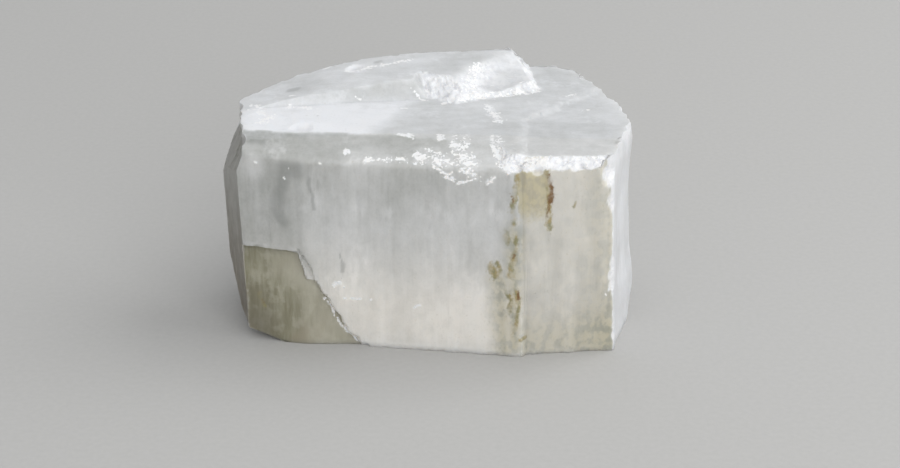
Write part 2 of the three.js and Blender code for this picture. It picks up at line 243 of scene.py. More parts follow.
# %% Carve the top
def top_surfaces(plan):
    """The top over the plan: its height, how crushed it is, how far the bevel along the front lies
    under the rest, and where the smooth wall is. height = lowest of crown, bevels and the higher of
    low and step; low = lower of floor and terrace; step = lowest of the front wall, the end wall and
    the higher of the two left walls."""
    hackle = facets(plan, 0.9, 41) + 0.5 * facets(plan, 0.45, 43)
    ripple = noise(plan, 2.6, 51, 2) * (0.25 + 0.75 * eased(-6, -3, plan[..., 1]))
    a, b, c = CROWN_STEP
    facet = np.minimum(wall_of(CROWN_FACET, 0.85, plan), wall_of(CROWN_BLOCK, 1.0, plan)) + 0.06 * ripple
    crumbled = wall_of([a, b], 1.6, plan) + 0.22 * hackle
    front = wall_of([b, c], 0.9, plan) + 0.2 * hackle
    end = wall_of(CROWN_END, 1.0, plan) + 0.15 * hackle
    step = np.minimum(np.maximum(facet, crumbled), np.minimum(front, end))
    offset = plan - np.array(SCOOP[:2])
    along, across = offset @ np.array(SCOOP_AXIS), offset @ np.array([SCOOP_AXIS[1], -SCOOP_AXIS[0]])
    scoop = SCOOP[2] + along**2 / SCOOP_SPREAD[0] + across**2 / SCOOP_SPREAD[1]
    scoop = scoop + 0.08 * noise(plan, 1.1, 57, 2)
    scoop = scoop + 0.03 * noise(np.stack([across, along], axis=-1), (0.3, 2.5), 59, 2)
    crown = np.minimum(plane(CROWN_SLOPE, plan), plane(CROWN_TOP, plan)) + 0.05 * ripple
    crown = np.minimum(crown, plane(CROWN_LEFT, plan) + 0.06 * ripple)
    in_scoop = eased(0, 0.5, crown - scoop)
    crown = lower(crown, scoop, 0.3)
    a, b, c = TERRACE_EDGE
    edge = np.maximum(wall_of([a, b], 3, plan), wall_of([b, c], 3, plan)) + 0.08 * hackle
    floor = plane(LOW_TOP, plan) + 0.035 * ripple
    terrace = np.maximum(plane(RIGHT_TERRACE, plan) + 0.03 * noise(plan, 3.5, 53, 2), edge)
    low = np.minimum(floor, terrace)
    top = np.minimum(crown, np.maximum(low, step))
    band_end = wall_of(BAND_END, -0.8, plan) + 0.15 * hackle
    band = np.maximum(plane(BAND, plan) + 0.015 * ripple, band_end)
    rim = plane(FRONT_RIM, plan) + 0.16 * hackle
    height = np.minimum(np.minimum(top, band), rim)
    on_step = (step > low) & (step < crown) & (height == top)
    on_facet = on_step & (facet > crumbled)
    broken = (rim <= height) | ((band_end > plane(BAND, plan) + 0.05) & (band <= height))
    crushed = 0.85 * (on_step & ~on_facet) + 0.95 * broken
    towards_end = plan[..., 0] - 0.2 * plan[..., 1] + 0.6 * noise(plan, 0.7, 55, 2)
    crumbly = 0.38 + 0.4 * eased(5.2, 3.2, towards_end)
    crushed = crushed + crumbly * in_scoop * ((height == top) & (crown <= step))
    crushed = crushed + 0.1 * ((edge < floor) & (edge > terrace - 0.01) & (height == low))
    return height, np.clip(crushed, 0, 1), top - band, on_facet


print("the top is", top_surfaces(np.array([[0.0, 8.0]]))[0].round(2), "mm high at the back")

# %% [markdown]
# ## The walls, drawn in to what has broken off
#
# Beryllonite's upright faces carry fine growth lines along the prism, so the relief of the walls is
# noise that is stretched tall: it changes quickly round the outline and slowly with height. The right
# end has a long, shallow hollow, and a thin layer has split off the back, as this mineral does along
# its growth planes. Corners and feet have broken off along planes. Rather than cutting the mesh, each
# point on the wall slides towards the crystal's axis until it is behind every such plane, which keeps
# the grid whole.

# %% Measure the walls
LEAN = -0.032  # sideways lean of the upright edges, per millimetre of height
AXIS = np.array([0.5, -0.5])
RIB_WIDTH, RIB_DEPTH = 1.15, 0.05
LINE_WIDTH, LINE_DEPTH = 0.33, 0.02
BITE_WIDTH, BITE_DEPTH, BITE_LOW = 1.3, 0.3, 17.2  # shells broken from the rim at the right and back
FACE_STEP = 0.3  # how far the right front face stands out near the rim, to meet the broad one
HOLLOW_DEPTH = 0.28  # of the shell in the right end
FOOT_WEAR = 0.16  # how far the ragged foot is drawn in

# Each broken-off piece is a list of planes, all of which it lies beyond: [point, outward direction].
BROKEN = [
    [((-16.75, -2, 17.3), (-0.99, -0.1, 0)), ((-18.32, -2, 14.27), (-0.89, -0.1, 0.45))],  # left shoulder
    [((15.46, -9.8, 13.6), (0.65, -0.76, 0.13))],  # bruise on the right front edge
    [((-12.6, -7, 0), (-0.31, 0, -0.95))],  # undercut at the left
    [((-17.18, -4.8, 2.11), (-0.85, 0.3, -0.5))],  # left foot
    [((17.62, -3.48, 1), (0.9, 0.2, -0.38))],  # right foot
    [((-9.9, 6.3, 1.6), (-0.36, 0.62, -0.7))],  # foot of the back
]
# The cleavage layer that is missing from the back: its floor, and the two planes past which it starts.
LAYER = [
    ((1.5, 9.5, 0), (-0.09, 0.996, 0)),
    ((8.2, 0, 6), (-0.95, 0, 0.3)),
    ((0, 0, 7.4), (-0.25, 0, 0.97)),
]
print(len(BROKEN), "pieces are broken off along planes")


# %% Slide points behind a plane
def past(points, plane):
    """How far points stand beyond a plane, which is a point on it and its outward direction: their
    offset from the point, times the direction at length one."""
    point, direction = np.array(plane[0]), np.array(plane[1])
    return (points - point) @ (direction / norm(direction))


def drawn_in(points, planes, seed):
    """The share of its distance from the axis that each point keeps. Going inwards, a point leaves a
    plane after the height it stands beyond it, divided by what its whole ray climbs towards it. The
    broken piece lies beyond all its planes, so leaving one of them, the nearest, is enough."""
    ray = points[..., :2] - AXIS
    keep = np.zeros(points.shape[:-1])
    for k, (point, direction) in enumerate(planes):
        relief = 0.1 * noise(points, 2.5, seed + k, 2) + 0.07 * facets(points, 1.1, seed + k)
        beyond = past(points, (point, direction)) + relief
        climb = ray @ (np.array(direction) / norm(direction))[:2]
        leaves = np.where(climb > 1e-6, 1 - beyond / np.maximum(climb, 1e-6), 0)
        keep = np.maximum(keep, np.where(beyond > 0, leaves, 1))
    return np.minimum(keep, 1)


# How strongly each kind of relief acts at each point of the outline, from 0 to 1.
number = np.arange(len(outline))
at_back = number >= starts[2]
at_right = eased(starts[1] + 3, starts[1] + 14, number) * eased(starts[2] - 3, starts[2] - 20, number)
bitten = eased(starts[1] + 4, starts[1] + 14, number) * eased(starts[2] + 60, starts[2] + 20, number)
right_front = (outline[:, 0] > 8.2) * eased(15.9, 14.9, outline[:, 0]) * (number < ALONG)
travelled = np.cumsum(norm(forward, axis=1) / 2)
print("the outline is", travelled[-1].round(1), "mm long")


# %% Shape the walls
def wall_points(height):
    """The walls at these heights, rows by points round the outline. A point is its place on the
    outline, moved out by all relief: ribs, finer lines, bites, the step between the front faces, the
    hollow, the missing layer and the ragged foot. It is sheared by the lean times its height, and
    moved towards the axis to the smallest share that any broken piece leaves it."""
    plan = np.broadcast_to(outline, height.shape + (2,))
    column = np.concatenate([plan, height[..., None]], axis=-1)
    wave = noise(column, 3.0, 62, 2)
    relief = RIB_DEPTH * noise(column, (RIB_WIDTH, RIB_WIDTH, 16), 61, 2)
    relief = relief + LINE_DEPTH * noise(column, (LINE_WIDTH, LINE_WIDTH, 5), 63)
    turn = np.pi * (travelled / BITE_WIDTH + 0.5 * noise(travelled[:, None], 2.1, 65))
    relief = relief - (bitten * BITE_DEPTH * np.abs(np.sin(turn)) ** 0.7
                       * np.clip((height - BITE_LOW) / 1.5, 0, 1.2))
    relief = relief + FACE_STEP * right_front * eased(2, 8, height)
    hollow = eased(3.5, 8, height + 0.5 * wave) * eased(17.5, 14, height + 0.5 * wave)
    relief = relief - HOLLOW_DEPTH * at_right * hollow * (1 + 0.3 * wave)
    floor, start, sill = [past(column + height[..., None] * [LEAN, 0, 0], plane) for plane in LAYER]
    wavy = 0.35 * noise(column, 2.2, 66, 3)
    missing = eased(-0.1, 0.5, start + wavy) * eased(-0.2, 0.7, sill + wavy)
    relief = relief - at_back * np.maximum(floor, 0) * missing
    ragged = 0.5 + 0.5 * noise(column, (0.8, 0.8, 0.5), 67, 2)
    relief = relief - FOOT_WEAR * ragged * eased(0.55, 0, height)
    moved = np.concatenate([outward * relief[..., None], np.zeros_like(height)[..., None]], axis=-1)
    points = column + moved
    points[..., 0] += LEAN * height
    keep = np.min([drawn_in(points, planes, 70 + 5 * k) for k, planes in enumerate(BROKEN)], axis=0)
    points[..., :2] = AXIS + keep[..., None] * (points[..., :2] - AXIS)
    return points

# %% Find the rim and fill the walls up to it
rim_height = np.full((1, len(outline)), LEVEL)
for _ in range(6):  # the rim's height and its place depend on each other, so both settle in a few turns
    rim_height = top_surfaces(wall_points(rim_height)[..., :2])[0]

ROWS = 84
even = np.linspace(0, 1, ROWS + 1)
share = 0.5 * even + 0.25 * (1 - np.cos(np.pi * even))  # rows lie closer near the foot and the rim
walls = wall_points(share[:, None] * rim_height)
print("the walls reach from", walls[..., 2].min().round(2), "to", walls[..., 2].max().round(2), "mm")

# %% [markdown]
# ## The missing flake
#
# At the lower left of the front a flake has come away along a slanted plane. It is given as an outline
# on the face, and a function that says how deep each point of the face sinks: as deep as the slanted
# floor says, but no deeper than the broken edge allows, which slopes down from the outline. A thin
# sliver has gone beside the flake's edge too.

# %% Outline the flake
FLAKE = np.array([(-3, 8.7), (2.4, 8.75), (4.0, 8.45), (4.5, 8.4), (4.8, 7.1), (5.3, 6.2), (6.0, 6.0),
                  (6.5, 5.1), (7.1, 4.2), (7.6, 3.4), (8.2, 2.5), (8.8, 1.3), (9.6, 0.6), (10.5, -0.6),
                  (-3, -0.6)])
FLAKE_DEPTH, FLAKE_RIM = 0.8, 0.28
SLIVER = np.array([(4.7, 8.9), (5.3, 8.1), (5.8, 7.2), (6.0, 6.2), (5.3, 6.2), (4.8, 7.1)])  # by its edge
SLIVER_DEPTH, SLIVER_RIM = 0.3, 0.14
face_side = np.subtract(FRONT_EDGE, LEFT_FRONT)
face_along = np.append(face_side, 0) / norm(face_side)
face_out = np.cross(face_along, (0, 0, 1))


def distance_to(points, start, side):
    """How far each point lies from the nearest of these straight pieces. Its offset from a piece's
    start is laid along the piece, kept between its ends, and taken away."""
    offset = points[..., None, :] - start
    part = np.sum(offset * side, axis=-1) / np.maximum(np.sum(side * side, axis=-1), 1e-9)
    return norm(offset - np.clip(part, 0, 1)[..., None] * side, axis=-1).min(axis=-1)


def inside_by(points, corners):
    """How far each point lies inside a closed outline, negative outside it: the distance to the
    nearest side, with the sign of an even-odd count of the sides to its right."""
    start, end = corners, np.roll(corners, -1, axis=0)
    side = end - start
    apart = distance_to(points, start, side)
    level = points[..., None, 1]
    spans = (start[:, 1] > level) != (end[:, 1] > level)
    rise = np.where(side[:, 1] == 0, 1, side[:, 1])
    crossing = start[:, 0] + (level - start[:, 1]) * side[:, 0] / rise
    odd = np.sum(spans & (crossing > points[..., None, 0]), axis=-1) % 2 == 1
    return np.where(odd, apart, -apart)


print("the flake's outline has", len(FLAKE), "corners")


# %% Sink the flake
def on_face(points):
    """Coordinates on the broad front face, from its left edge: along it, up, and out of it."""
    offset = points - np.array([*LEFT_FRONT, 0])
    return np.stack([offset @ face_along, offset[..., 2], offset @ face_out], axis=-1)


def flake_depth(face):
    """How far the flake's floor lies behind each point of the face, and how far inside it that is.
    The floor is slanted: deep at the top, level with the face half-way down, and proud at the foot."""
    wander = 0.12 * noise(face[..., :2], 0.9, 91, 2)
    inside = inside_by(face[..., :2], FLAKE) + FLAKE_RIM + wander
    floor = 0.13 * face[..., 1] - 0.5 + 0.14 * np.maximum(face[..., 0] - 5.5, 0)
    floor = floor + 0.07 * noise(face[..., :2], 2.4, 93, 2) + face[..., 2]
    depth = np.minimum(floor, FLAKE_DEPTH) * np.clip(inside / FLAKE_RIM, 0, 1)
    sliver = np.clip(inside_by(face[..., :2], SLIVER) / SLIVER_RIM + 1, 0, 1) * SLIVER_DEPTH
    return np.where(inside > 0, depth, np.maximum(depth, sliver)), inside


face = on_face(walls)
sunk, flake_inside = flake_depth(face)
in_front = (face[..., 2] > -1.5) & (np.arange(len(outline)) < ALONG)
sunk = np.where(in_front, sunk, 0)
walls = walls - sunk[..., None] * face_out
print("the flake is", sunk.max().round(2), "mm deep")

# %% [markdown]
# ## The top stretched between the four sides of the rim
#
# A top made of rings would crowd its points at the centre. A Coons patch has no such pole: it adds the
# cloth stretched between the front and back rims to the one stretched between the two ends, and takes
# away the one that the four corners alone would carry, which was counted twice.

# %% Stretch the top
def sides(ring):
    """A closed ring cut at the outline's corners into front, back, left and right, each with both of
    its corners, and turned to run from left to right or from front to back."""
    ring = np.append(ring, ring[:1], axis=0)
    front, right, back, left = [ring[a:b + 1] for a, b in zip(starts, [*starts[1:], len(outline)])]
    return front, back[::-1], left[::-1], right


def coons(front, back, left, right):
    """Rows from the front to the back, columns from left to right: (1 - v) front + v back +
    (1 - u) left + u right, minus the four corners weighted by both u and v."""
    u = np.linspace(0, 1, len(front))[None, :, None]
    v = np.linspace(0, 1, len(left))[:, None, None]
    corners = (1 - v) * ((1 - u) * front[0] + u * front[-1]) + v * ((1 - u) * back[0] + u * back[-1])
    return (1 - v) * front + v * back + (1 - u) * left[:, None] + u * right[:, None] - corners


def slid(grid, crease_row):
    """The same grid with its rows slid along the columns, so that one of them lies on the sharp edge
    behind the front bevel. In each column the edge is where the bevel stops being the lower surface,
    and the rows before and behind it are spaced evenly. The end columns stay as they are."""
    rows, columns = grid.shape[:2]
    gap = top_surfaces(grid[..., :2])[2]
    under = gap > 0
    under[0] = True
    last_under = np.where(np.all(under, axis=0), crease_row, np.argmin(under, axis=0) - 1)
    column = np.arange(columns)
    here, after = gap[last_under, column], gap[last_under + 1, column]
    edge = last_under + np.clip(here / np.where(here == after, 1, here - after), 0, 1)
    known = (edge > 0.4 * crease_row) & (edge < 1.8 * crease_row)
    edge = np.interp(column, column[known], edge[known])
    free = eased(0, 6, np.minimum(column, columns - 1 - column))
    edge = crease_row + (edge - crease_row) * free
    row = np.arange(rows)[:, None]
    new = np.where(row < crease_row, edge * row / crease_row,
                   edge + (rows - 1 - edge) * (row - crease_row) / (rows - 1 - crease_row))
    before = np.minimum(new.astype(int), rows - 2)
    part = (new - before)[..., None]
    return (1 - part) * grid[before, column] + part * grid[before + 1, column]


CREASE_ROW = 16  # the row that follows the bevel's edge
top = slid(coons(*sides(walls[-1])), CREASE_ROW)
inner = (slice(1, -1), slice(1, -1))
top_height, crushed_top, bevel_top, facet_top = top_surfaces(top[..., :2])
top[..., 2][inner] = top_height[inner]
print("the top has", top.shape[0], "rows of", top.shape[1], "points")

# %% Join the three grids into one list of points
around = len(outline)
wall_index = np.arange(walls.shape[0] * around).reshape(-1, around)
last = wall_index[-1]  # the rim, whose points the top and the walls share
top_index = np.zeros(top.shape[:2], int)
top_index[inner] = wall_index.size + np.arange(top[inner][..., 0].size).reshape(top.shape[0] - 2, -1)
top_index[0], top_index[-1], top_index[:, 0], top_index[:, -1] = sides(last)
points = np.concatenate([walls.reshape(-1, 3), top[inner].reshape(-1, 3)])
wrapped = np.concatenate([wall_index, wall_index[:, :1]], axis=1)


def quads(index):
    """The four corners of each cell of a grid of indices, anticlockwise."""
    corners = [index[:-1, :-1], index[:-1, 1:], index[1:, 1:], index[1:, :-1]]
    return np.stack(corners, axis=-1).reshape(-1, 4)


cells = np.concatenate([quads(wrapped), quads(top_index)])
print(len(points), "points and", len(cells), "four-sided faces")

# %% [markdown]
# ## Crumbs and chips
#
# Where the mineral was crushed it is a heap of angular crumbs, so the points there move along their own
# normals by faceted relief, less so at the right end, where the crushed rim thins out. A brittle
# mineral also loses little shells from its edges. Such a chip is a small scoop: every point that lies
# inside a ball is pushed out to the ball's surface, straight away from its centre. The balls sit
# mostly outside the crystal, and how far they reach in is the depth.

# %% Crumble what is crushed
def normals_of(points):
    """The outward direction at each point: the sum of the cross products of its faces' diagonals."""
    across = points[cells[:, 2]] - points[cells[:, 0]]
    over = points[cells[:, 3]] - points[cells[:, 1]]
    total = np.zeros_like(points)
    for k in range(4):
        np.add.at(total, cells[:, k], np.cross(across, over))
    return total / np.maximum(norm(total, axis=1), 1e-12)[:, None]


CRUMB_HEIGHT = 0.16
crushed = np.zeros(len(points))
crushed[top_index] = crushed_top
crumbs = facets(points, 0.75, 201) + 0.6 * facets(points, 0.4, 203)
crumbling = CRUMB_HEIGHT * eased(0.5, 0.9, crushed) * (1 - 0.7 * eased(15, 16.2, points[:, 0]))
points = points + normals_of(points) * (crumbling * crumbs)[:, None]
print((crumbling > 0.01).sum(), "points are crumbled")

# %% Find the sharp edges
def spread(values, rounds):
    """Averages each point's value, or row of values, with those of its faces' corners, a few times."""
    count = np.bincount(cells.ravel(), minlength=len(points))
    for _ in range(rounds):
        total = np.zeros_like(values, dtype=float)
        np.add.at(total, cells.ravel(), np.repeat(values[cells].mean(axis=1), 4, axis=0))
        values = (total.T / count).T
    return values


def edge_sharpness():
    """How sharply the surface bends outwards: for each edge, how much the normals at its two ends
    turn away from each other along it, averaged over the edges that meet at a point."""
    directions = normals_of(points)
    ends = np.concatenate([cells[:, [k, (k + 1) % 4]] for k in range(4)])
    step = points[ends[:, 1]] - points[ends[:, 0]]
    turn = np.sum((directions[ends[:, 1]] - directions[ends[:, 0]]) * step, axis=1)
    bend = turn / np.maximum(norm(step, axis=1), 1e-6)
    total, count = np.zeros(len(points)), np.zeros(len(points))
    np.add.at(total, ends.ravel(), np.repeat(bend, 2))
    np.add.at(count, ends.ravel(), 1)
    return np.clip(total / count, 0, 0.6) / 0.6


print("a tenth of the points are sharper than", np.quantile(edge_sharpness(), 0.9).round(2))


# %% Wear the edges
def column_at(corner, low, high):
    """The wall's points over a corner of the outline, between two heights in millimetres."""
    column = wall_index[:, np.argmin(norm(outline - np.array(corner), axis=1))]
    return column[(points[column, 2] > low) & (points[column, 2] < high)]


blunt = np.zeros(len(points))
blunt[last[:int(0.72 * ALONG)]] = 1  # the bevel runs smoothly into the broad front face,
blunt[column_at(FRONT_EDGE, 4.5, 18)] = 1  # and that face into the next one, except near the foot
blunt = np.clip(4 * spread(blunt, 10), 0, 1)
for _ in range(3):
    points = points + blunt[:, None] * (spread(points, 8) - points)
sharp = spread(edge_sharpness(), 1)
wear = 0.03 + 0.07 * np.clip(noise(points, 0.9, 211, 2), 0, 1) + 0.05 * facets(points, 0.6, 213)
points = points - normals_of(points) * (sharp * wear)[:, None]
print("the edges are worn by up to", (sharp * wear).max().round(2), "mm")

# %% Chip the edges
rng = np.random.default_rng(7)
bruised = np.zeros(len(points))


def scooped(points, bruised, centre, radius, white):
    """Pushes the points inside a ball out to its surface, and marks them and a narrow ring round
    them as bruised. A point's new place is the centre plus its offset times radius over distance."""
    offset = points - centre
    apart = norm(offset, axis=1)
    near = apart < 1.3 * radius
    apart[near] *= 1 + 0.05 * noise(points[near], 0.35 * radius, 221, 2)
    inside = apart < radius
    pushed = centre + offset * (radius / np.maximum(apart, 1e-6))[:, None]
    mark = white * np.clip((1.06 * radius - apart) / (0.06 * radius), 0, 1)
    return np.where(inside[:, None], pushed, points), np.maximum(bruised, mark)


def chip_along(points, bruised, path, count, wide, deep, white):
    """Scoops at random places of a path of points. A ball that cuts so wide and deep has a radius of
    half the width squared over twice the depth, plus half the depth. Its centre lies out along the
    local normal, turned a little by chance, by the radius less the depth."""
    directions = normals_of(points)
    for _ in range(count):
        at = path[rng.integers(len(path))]
        grow = rng.uniform(0.5, 1.6)
        depth = deep * grow
        radius = (0.5 * wide * grow) ** 2 / (2 * depth) + depth / 2
        turned = directions[at] + rng.normal(0, 0.2, 3)
        centre = points[at] + turned / norm(turned) * (radius - depth)
        points, bruised = scooped(points, bruised, centre, radius, white * rng.uniform(0.5, 1))
    return points, bruised


# %% Choose where the chips sit
rim_front, rim_right = last[:starts[1]], last[starts[1]:starts[2]]
rim_back, rim_left = last[starts[2]:starts[3]], last[starts[3]:]
foot = wall_index[0]
CHIPS = [  # path, how many, width in mm, depth in mm, how white
    (rim_front[int(0.77 * ALONG):int(0.93 * ALONG)], 12, 0.5, 0.07, 0.8),
    (rim_right[12:], 12, 0.7, 0.08, 0.4),
    (rim_back, 26, 0.7, 0.07, 0.3),
    (rim_left, 14, 0.7, 0.08, 0.5),
    (column_at(RIGHT_FRONT, 1, 17), 24, 0.6, 0.07, 0.8),
    (column_at(FRONT_EDGE, 0, 6), 6, 0.4, 0.05, 0.2),
    (column_at(LEFT_FRONT, 1, 17), 8, 0.4, 0.04, 0.2),
]
for path, count, wide, deep, white in CHIPS:
    points, bruised = chip_along(points, bruised, path, count, wide, deep, white)

SHELLS = [  # single, larger scoops: centre and radius in mm, and how white
    ((-6.0, -9.3, -0.15), 0.62, 0.3),  # notch in the foot, where the flake ends
    ((-11.3, -5.5, 22.4), 3.5, 0.1),  # shallow shell behind the crisp edge of the bevel
    ((5.0, -1.6, 19.75), 0.82, 0.6),  # flakes lifted from the low top
    ((5.9, -3.1, 19.5), 0.62, 0.6),
    ((-6.9, 5.4, 22.2), 1.95, 0.5),  # and from the crown
    ((-3.2, 0.9, 21.6), 1.4, 0.4),
]
for centre, radius, white in SHELLS:
    points, bruised = scooped(points, bruised, np.array(centre), radius, white)
points[:, 2] = np.maximum(points[:, 2], 0)  # the underside is flat
points[foot, 2] = 0
print((bruised > 0.4).sum(), "points are bruised")

# %% [markdown]
# ## Masks for the material
#
# The finish needs to know where the crystal is clear or milky, crushed, worn or stained, and where light
# and shade are painted into its colour: bright rims on the edges, glints, a glow along the foot, and
# shade on the left end, the flake's floor and a hollow in the crown. Each such place is a number at
# every point, worked out from where the point is, and stored with the mesh as an attribute. A stain,
# crack or glint is how near the point is to a short stroke, laid over the front with the lean taken
# out, or over the top as seen from above. The material then roughens the strokes' edges with finer
# noise. They could be painted by hand, but a stroke in numbers repeats exactly.

# %% A helper that draws strokes
is_wall = np.arange(len(points)) < wall_index.size
column_of = np.where(is_wall, np.arange(len(points)) % around, -1)
faces_front = np.where(is_wall, column_of < ALONG, points[:, 1] < -6.0)


def wobbled(places, seeds):
    """The same places plus smooth noise of 0.14 mm, so that a stroke over them comes out uneven."""
    return places + 0.14 * np.stack([noise(places, 0.8, seed, 2) for seed in seeds], axis=1)


from_front = wobbled(np.stack([points[:, 0] - LEAN * points[:, 2], points[:, 2]], axis=1), (301, 303))
from_above = wobbled(points[:, :2], (305, 307))


def strokes(*marks, over=from_front):
    """How near each point is to any of these strokes, from 1 on one to 0 at its width. A stroke is
    its width and the pairs of coordinates that it runs through, in mm over the front or the top."""
    nearness = np.zeros(len(points))
    for width, *path in marks:
        path = np.reshape(path + path[-2:], (-1, 2)).astype(float)
        apart = distance_to(over, path[:-1], np.diff(path, axis=0))
        nearness = np.maximum(nearness, np.clip(1 - apart / width, 0, 1))
    return nearness


print(is_wall.sum(), "points lie on the walls")

# %% Stain the seam between the two front faces with iron
rust = strokes(
    (0.3, 10.4,17.4, 10.6,16.6, 10.65,15.6), (0.42, 10.65,15.6, 10.55,14.7),
    (0.2, 10.4,14.4, 10.3,13.4), (0.2, 7.65,6.4, 7.7,5.7), (0.16, 7.4,10.1, 7.3,9.6),
    (0.14, 7.2,15.9, 7.3,14.8), (0.16, -14.85,3.8, -14.75,3.4))
ochre = strokes(
    (0.7, 8.6,18.4, 9.5,18.5, 10.1,18), (0.42, 10.2,17.8, 10.45,15.5, 10.35,12.3),
    (0.4, 7.8,17.8, 7.6,16, 7.3,14.8, 7.4,12.9), (0.5, 6.7,12, 6.8,11.1), (0.3, 7.6,11.7, 7.5,11),
    (0.7, 5.3,8.6, 5.7,7.9), (0.4, 5.9,9, 6.2,8.3), (0.45, 7.4,10.4, 7.2,8.9, 7,7.9),
    (0.35, 6.6,6.5, 7.1,5.5, 6.8,4.3), (0.35, 7.5,6.5, 7.7,5, 7.3,2.4), (0.15, 12.5,14.2, 12.7,14.7),
    (0.3, 7.6,1.6, 8.2,1.8), (0.3, -15.05,4.3, -14.75,3.2))
beige = 0.75 * strokes((1.7, 7.4,12, 7.2,1), (2, 6.1,7.4, 6.2,3.5, 6.4,0.5))
patch = eased(7.6, 7.9, from_front[:, 0]) * eased(10.6, 10.3, from_front[:, 0])
patch = patch * eased(11.5, 15.5, from_front[:, 1])  # yellowish growth beside the seam, near the rim
gold = strokes((0.8, 8.6,18.5, 9.9,18.4))
stained = faces_front & (points[:, 2] < 18.6)
rust, ochre, beige, patch, gold = [mark * stained for mark in (rust, ochre, beige, patch, gold)]
print("ochre lies on", (ochre > 0.2).sum(), "points")

# %% Draw cracks, painted shade in a hollow, painted glints and places where crumbs sparkle
MARKS = {  # each one's strokes over the front, and over the top
    "crack_and_painted_shade": ((
        (1.3, -11.9,16.6, -10.9,16.7), (0.9, -12.2,15.6, -12.8,14.1, -12.9,12.6),
        (0.8, -12.9,12.6, -12.4,11.5), (0.24, -10,16, -9.8,14.7, -9.6,13.1), (0.16, -9,11.8),
        (0.2, -12.4,12.6, -12.4,12.4), (0.16, -7.6,8.9, -7.45,8), (0.38, -7.5,8, -7.45,7.4),
        (0.3, -16.2,18.7, -15.5,18.6), (0.3, -15.2,18.55, -13.7,18.4)), (
        # over the top, the first stroke is painted shade in the hollow at the crown's right end
        (0.75, 4.6,3.8, 6.2,3), (0.5, -12.6,2, -12,2.2), (0.2, -9.9,-2.4), (0.25, -9.5,7, -8.9,6.6),
        (0.3, -5.2,6.9, -4.8,7.2))),
    # painted highlights: edges and crumbs catching the light
    "glint": ((
        (0.3, -14.4,17.1), (0.2, -11.65,16.8), (0.2, -12.05,15.9), (0.3, -15.9,18.6),
        (0.14, -2.4,19.15, -1,19.12), (0.2, 1.2,19.1, 1.8,19.05), (0.18, 2.5,18.9, 3,18.9),
        (0.2, -6.8,18.2, -6.4,18.2), (0.18, -5.2,17.8, -4.8,17.9), (0.12, -4,18), (0.12, -2.8,18.2),
        (0.12, -1.7,18), (0.2, -0.5,18.1, 0,18.3), (0.16, 0.6,18.2), (0.2, 1.1,17.6, 1.5,17.5),
        (0.26, 1.7,16.9, 2.4,16.85), (0.26, 2.6,16.5, 3.3,16.5), (0.16, 3.4,16.6, 4,16.8),
        (0.24, 5.3,16.5, 5.9,17.2), (0.14, 4.6,16), (0.24, 5.8,18.8, 6.3,18.5),
        (0.4, 6.6,18.3, 7.1,17.8), (0.3, -8.4,5.9, -7.8,6.2), (0.16, -7.4,5.8),
        (0.1, -7.7,4.6, -6.4,4.8, -5.1,4.8), (0.2, -5,4.8), (0.16, -3.6,5.7), (0.16, -1.4,4.3, -0.9,4.6),
        (0.2, 15.4,6), (0.24, 15.2,5.6), (0.2, -9.5,4.4, -8.8,3.7, -8.5,3), (0.16, -8.5,3, -7.8,1.7),
        (0.24, -7.8,1.7, -7,0.9, -6.5,0.3)), (
        (0.16, -1.8,2.1, -1.1,1.7), (0.14, -1,1.5, -0.4,1.3), (0.14, -2.8,-0.4, -2.1,-0.4),
        (0.13, -6.8,1, -6.1,1), (0.24, -6.2,5.4, -5.4,6.2), (0.3, -9.8,6.2, -8.9,7.1), (0.12, -3.9,8.1),
        (0.14, -9.9,-2), (0.2, -12.6,0.6, -12.2,0.7), (0.15, 5.1,0.2, 5.5,0.1),
        (0.2, 5.2,-1.4, 5.9,-1.1), (0.18, 5.2,-3.1, 6.4,-2.6), (0.1, 6.4,-0.8),
        (0.2, 11.9,3.2, 12.8,3.4), (0.14, 13.1,0.2, 14,0.4))),
    "sparkle": ((
        (1.2, 3.1,18.4, 4.1,18.1), (0.9, 3.4,17.6, 4.3,17.2), (0.8, 0.9,18.1, 2.2,18),
        (0.7, 1.5,17.4, 2.4,17), (0.6, -0.7,18.1, 0.3,18.4), (0.6, 5.2,16.8, 5.8,17),
        (0.6, 2.4,18.8, 3.6,18.9), (0.26, -5,17.9, -1.5,18.05), (0.3, -6.7,18.2), (0.3, -8.8,17.5),
        (1, 6.3,18.7, 7,18), (0.5, -15.9,18.6)), (
        (1.3, -15.6,-0.6, -14.9,-2.2), (1.1, -14.8,-3.7, -13.9,-2.8), (0.8, -12.4,-0.7, -10.4,-0.6),
        (0.8, 1,0.9, 9.4,4), (1.3, 3.3,3.2, 4.2,6.4), (0.8, 5,0.4, 5.8,-3.2), (0.6, 8.2,4.6, 9.6,4.6),
        (0.7, -7.5,5, -2,7.5), (0.8, 9,-8.6, 15,-7.6))),
}
marked = {name: np.where(faces_front, strokes(*front), strokes(*above, over=from_above) * ~is_wall)
          for name, (front, above) in MARKS.items()}
print("the largest values are", [mark.max().round(2) for mark in marked.values()])

# %% Tell the sides apart
bevel, flake = np.full(len(points), -1.0), np.full(len(points), -1.0)
bevel[top_index] = bevel_top
flake[:wall_index.size] = np.where(in_front, flake_inside, -1.0).ravel()
dark_facet = np.zeros(len(points))
dark_facet[top_index] = facet_top
x, y, height = points.T
on_right = is_wall & (column_of >= starts[1]) & (column_of < starts[2])
on_back = is_wall & (column_of >= starts[2]) & (column_of < starts[3])
on_left = is_wall & (column_of >= starts[3])
on_right_front = is_wall & (column_of < ALONG) & (x > 7.7)
print("points on the right, back and left:", on_right.sum(), on_back.sum(), on_left.sum())

